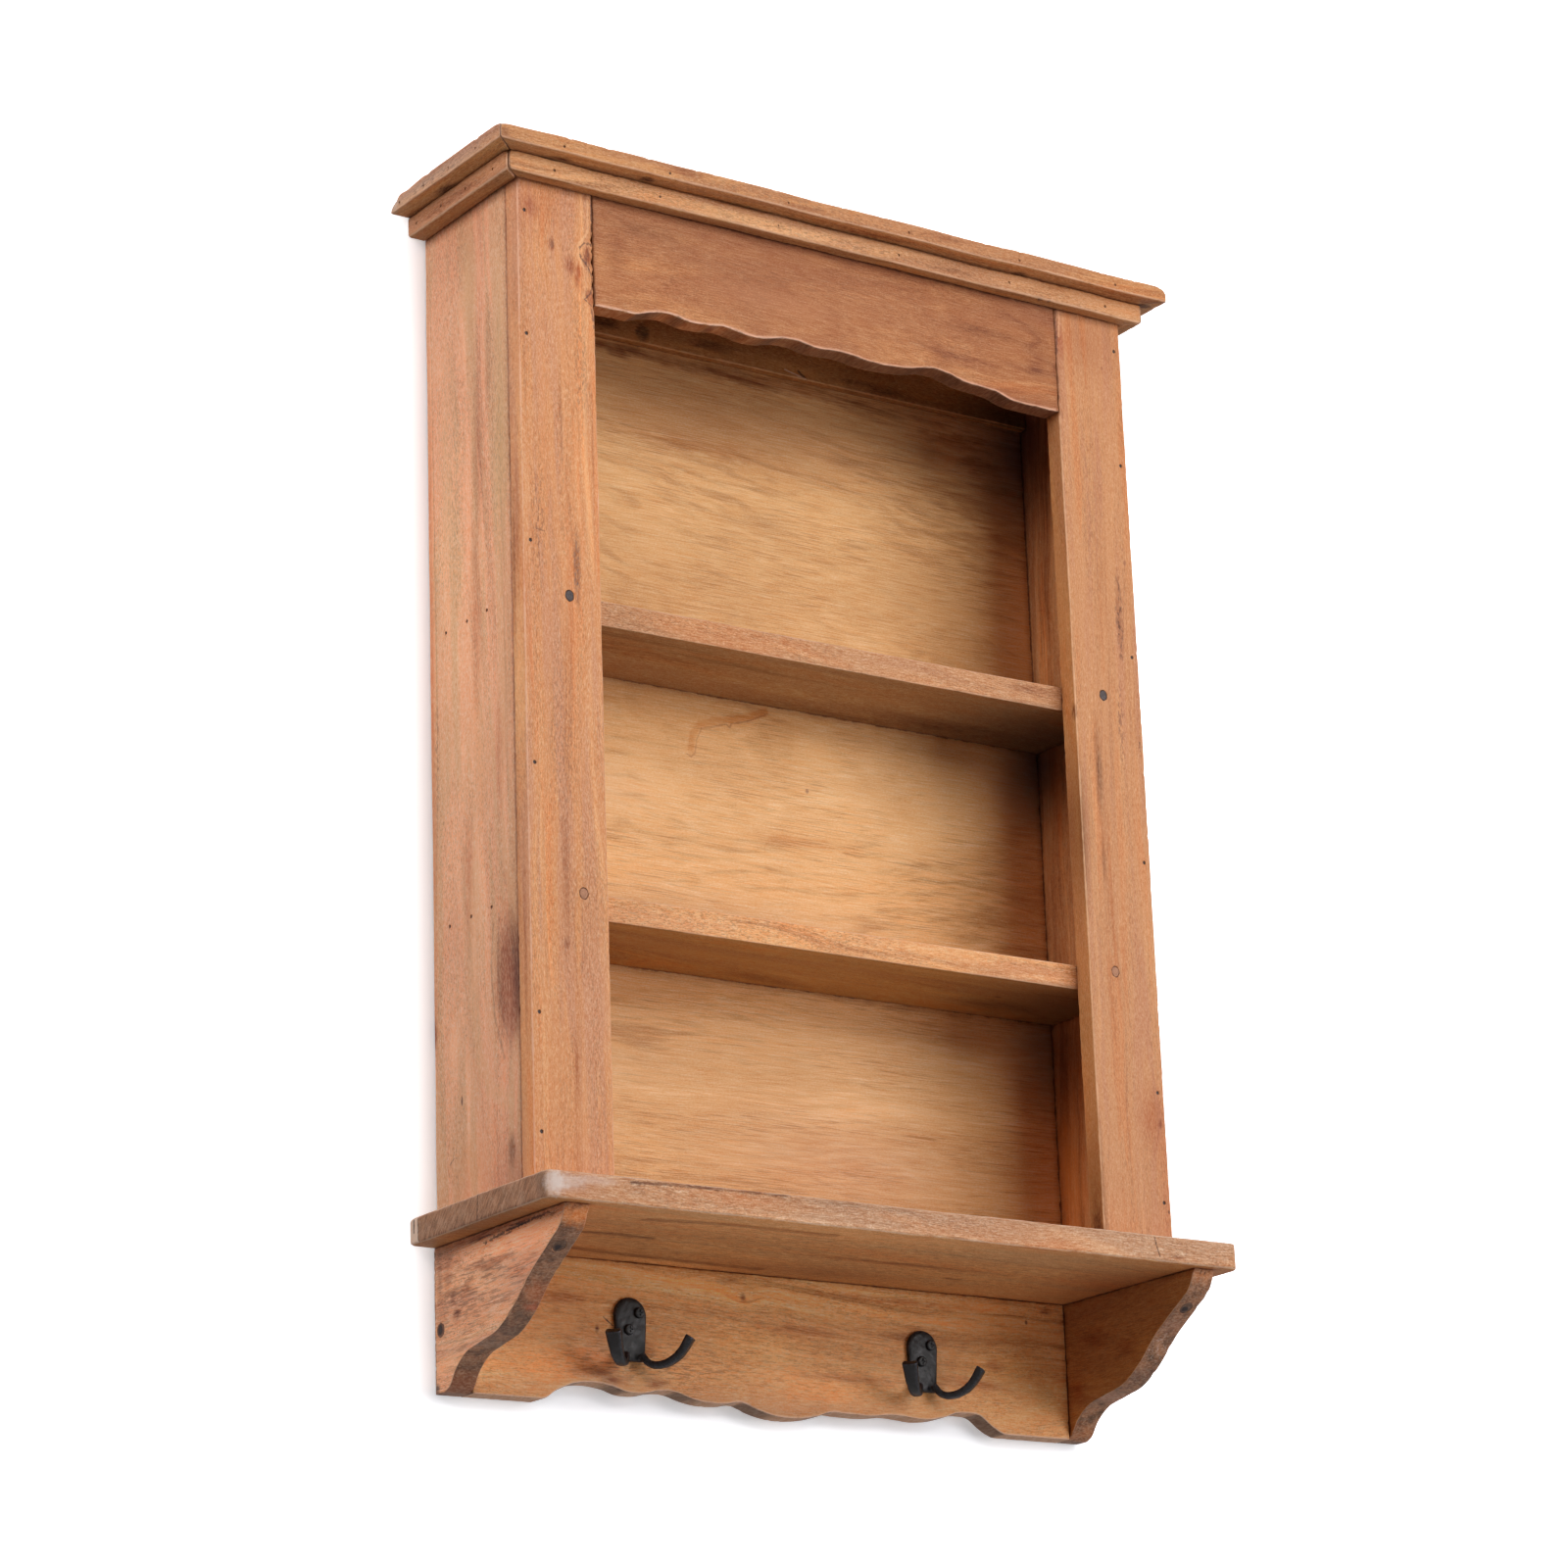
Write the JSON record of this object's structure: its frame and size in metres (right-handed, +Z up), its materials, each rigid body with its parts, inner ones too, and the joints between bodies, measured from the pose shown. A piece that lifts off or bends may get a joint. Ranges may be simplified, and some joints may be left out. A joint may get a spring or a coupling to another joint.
{
  "type": "wall shelf",
  "caption": "Rustic wooden wall shelf with a cornice, open bays, a scalloped valance, scrolled brackets and iron robe hooks on a scalloped board.",
  "frame": {"origin": "on the wall plane, in the middle of the rear edge of the bottom board", "axes": "+X to the viewer's right along the shelf, +Y into the wall, +Z up"},
  "size_m": [0.6234, 0.185, 0.9075],
  "materials": {
    "warm_wood": "oiled, worn, orange-brown",
    "brown_wood": "oiled, worn, grey-brown",
    "red_wood": "oiled, worn, reddish brown",
    "plywood": "oiled, worn, yellow-brown",
    "worn_wood": "worn and rubbed, greyish tan",
    "dark_plug": "dark stained",
    "light_plug": "oiled",
    "black_iron": "black, rough cast, waxed",
    "black_screw": "blackened",
    "hidden_steel": "dull, darkened"
  },
  "bodies": {
    "root": {"top_board": "warm_wood", "upper_moulding_front": "warm_wood", "upper_moulding_left": "warm_wood", "upper_moulding_right": "warm_wood", "lower_moulding_front": "warm_wood", "lower_moulding_left": "warm_wood", "lower_moulding_right": "warm_wood", "side_panel_left": "brown_wood", "side_panel_right": "brown_wood", "stile_left": "warm_wood", "stile_right": "warm_wood", "valance": "red_wood", "upper_shelf": "warm_wood", "lower_shelf": "warm_wood", "back_panel": "plywood", "hanging_rail": "brown_wood", "bottom_board": "worn_wood", "bracket_left": "brown_wood", "bracket_right": "brown_wood", "hook_board": "warm_wood", "robe_hook_left": "black_iron", "robe_hook_right": "black_iron", "hook_screws": "black_screw", "stile_plugs_dark": "dark_plug", "stile_plugs_light": "light_plug", "stile_screws": "hidden_steel", "bracket_side_plugs": "dark_plug", "bracket_side_screws": "hidden_steel", "bracket_front_plugs": "dark_plug", "bracket_front_screws": "hidden_steel", "shelf_nails": "hidden_steel", "stile_nails": "hidden_steel", "upper_moulding_nails": "hidden_steel", "lower_moulding_nails": "hidden_steel", "back_nails": "hidden_steel"}
  },
  "joints": []
}
